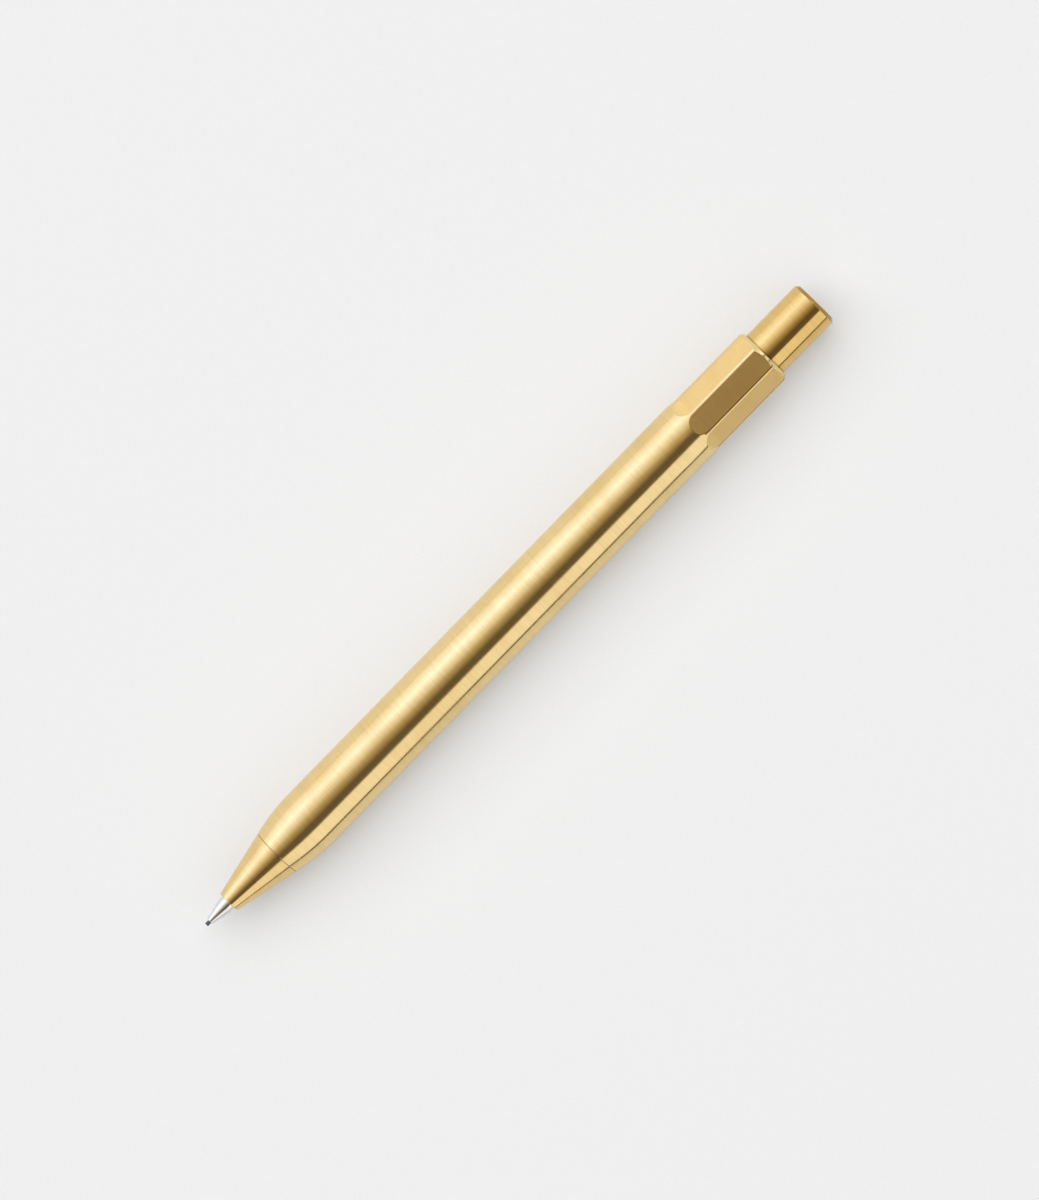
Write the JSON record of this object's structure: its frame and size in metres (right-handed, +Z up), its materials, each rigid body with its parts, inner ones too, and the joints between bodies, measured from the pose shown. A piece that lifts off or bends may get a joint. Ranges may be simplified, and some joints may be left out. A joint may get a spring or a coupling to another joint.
{
  "type": "lead holder",
  "caption": "Turned brass push-button lead holder with a milled octagonal rear, a screw-off nose cone, a steel guide tip and a spring-loaded lead chuck inside.",
  "frame": {"origin": "on the resting surface, under the middle of the overall length; the pencil's axis is 5.374 mm above it", "axes": "+X along the pencil's axis from the lead point to the push button, +Z up with the pencil lying on its side and one milled flat facing up, +Y to the pencil's left seen from above looking along +X"},
  "size_m": [0.1414, 0.0108, 0.0107],
  "materials": {
    "satin_brass": "satin",
    "inner_brass": "satin",
    "polished_steel": "polished",
    "spring_steel": "satin",
    "black_rubber": "matte",
    "black_acetal": "satin",
    "clear_tube": "satin",
    "white_eraser": "matte",
    "graphite": "satin"
  },
  "bodies": {
    "barrel": {"barrel": "satin_brass", "guide_tip": "polished_steel", "lead_retainer": "black_rubber", "clutch_casing": "inner_brass", "tube_guide_bush": "black_acetal", "return_spring": "spring_steel"},
    "nose_seal": {"nose_o_ring": "black_rubber"},
    "nose": {"nose_cone": "satin_brass"},
    "plunger": {"chuck": "inner_brass", "chuck_carrier": "inner_brass", "lead_tube": "clear_tube", "eraser_ferrule": "inner_brass", "eraser": "white_eraser", "spare_lead_1": "graphite", "spare_lead_2": "graphite", "spare_lead_3": "graphite"},
    "clutch_ring": {"clutch_ring": "spring_steel"},
    "button": {"push_button": "satin_brass", "button_grip_sleeve": "black_acetal"},
    "lead": {"lead": "graphite"}
  },
  "joints": [
    {"name": "button_press", "type": "slide", "parent": "barrel", "child": "plunger", "axis": [-1, 0, 0], "range_m": [0, 0.004], "stiffness_N_per_m": 900, "springref_m": -0.003, "deforming": ["return_spring"]},
    {"name": "ring_slide", "type": "slide", "parent": "barrel", "child": "clutch_ring", "axis": [-1, 0, 0], "range_m": [0, 0.001]},
    {"name": "button_pull", "type": "slide", "parent": "plunger", "child": "button", "axis": [1, 0, 0], "range_m": [0, 0.016]},
    {"name": "lead_feed", "type": "slide", "parent": "barrel", "child": "lead", "axis": [-1, 0, 0], "range_m": [-0.0008, 0.006]},
    {"name": "nose_advance", "type": "slide", "parent": "barrel", "child": "nose_seal", "axis": [-1, 0, 0], "range_m": [0, 0.00375]},
    {"name": "nose_unscrew", "type": "hinge", "parent": "nose_seal", "child": "nose", "pos_m": [-0.058, 0, 0.00537], "axis": [-1, 0, 0], "range_deg": [0, 1801]}
  ],
  "couplings": [
    {"joint": "ring_slide", "follows": "button_press", "ratio": 0.25},
    {"joint": "nose_unscrew", "follows": "nose_advance", "rad_per_m": 8377.6}
  ]
}
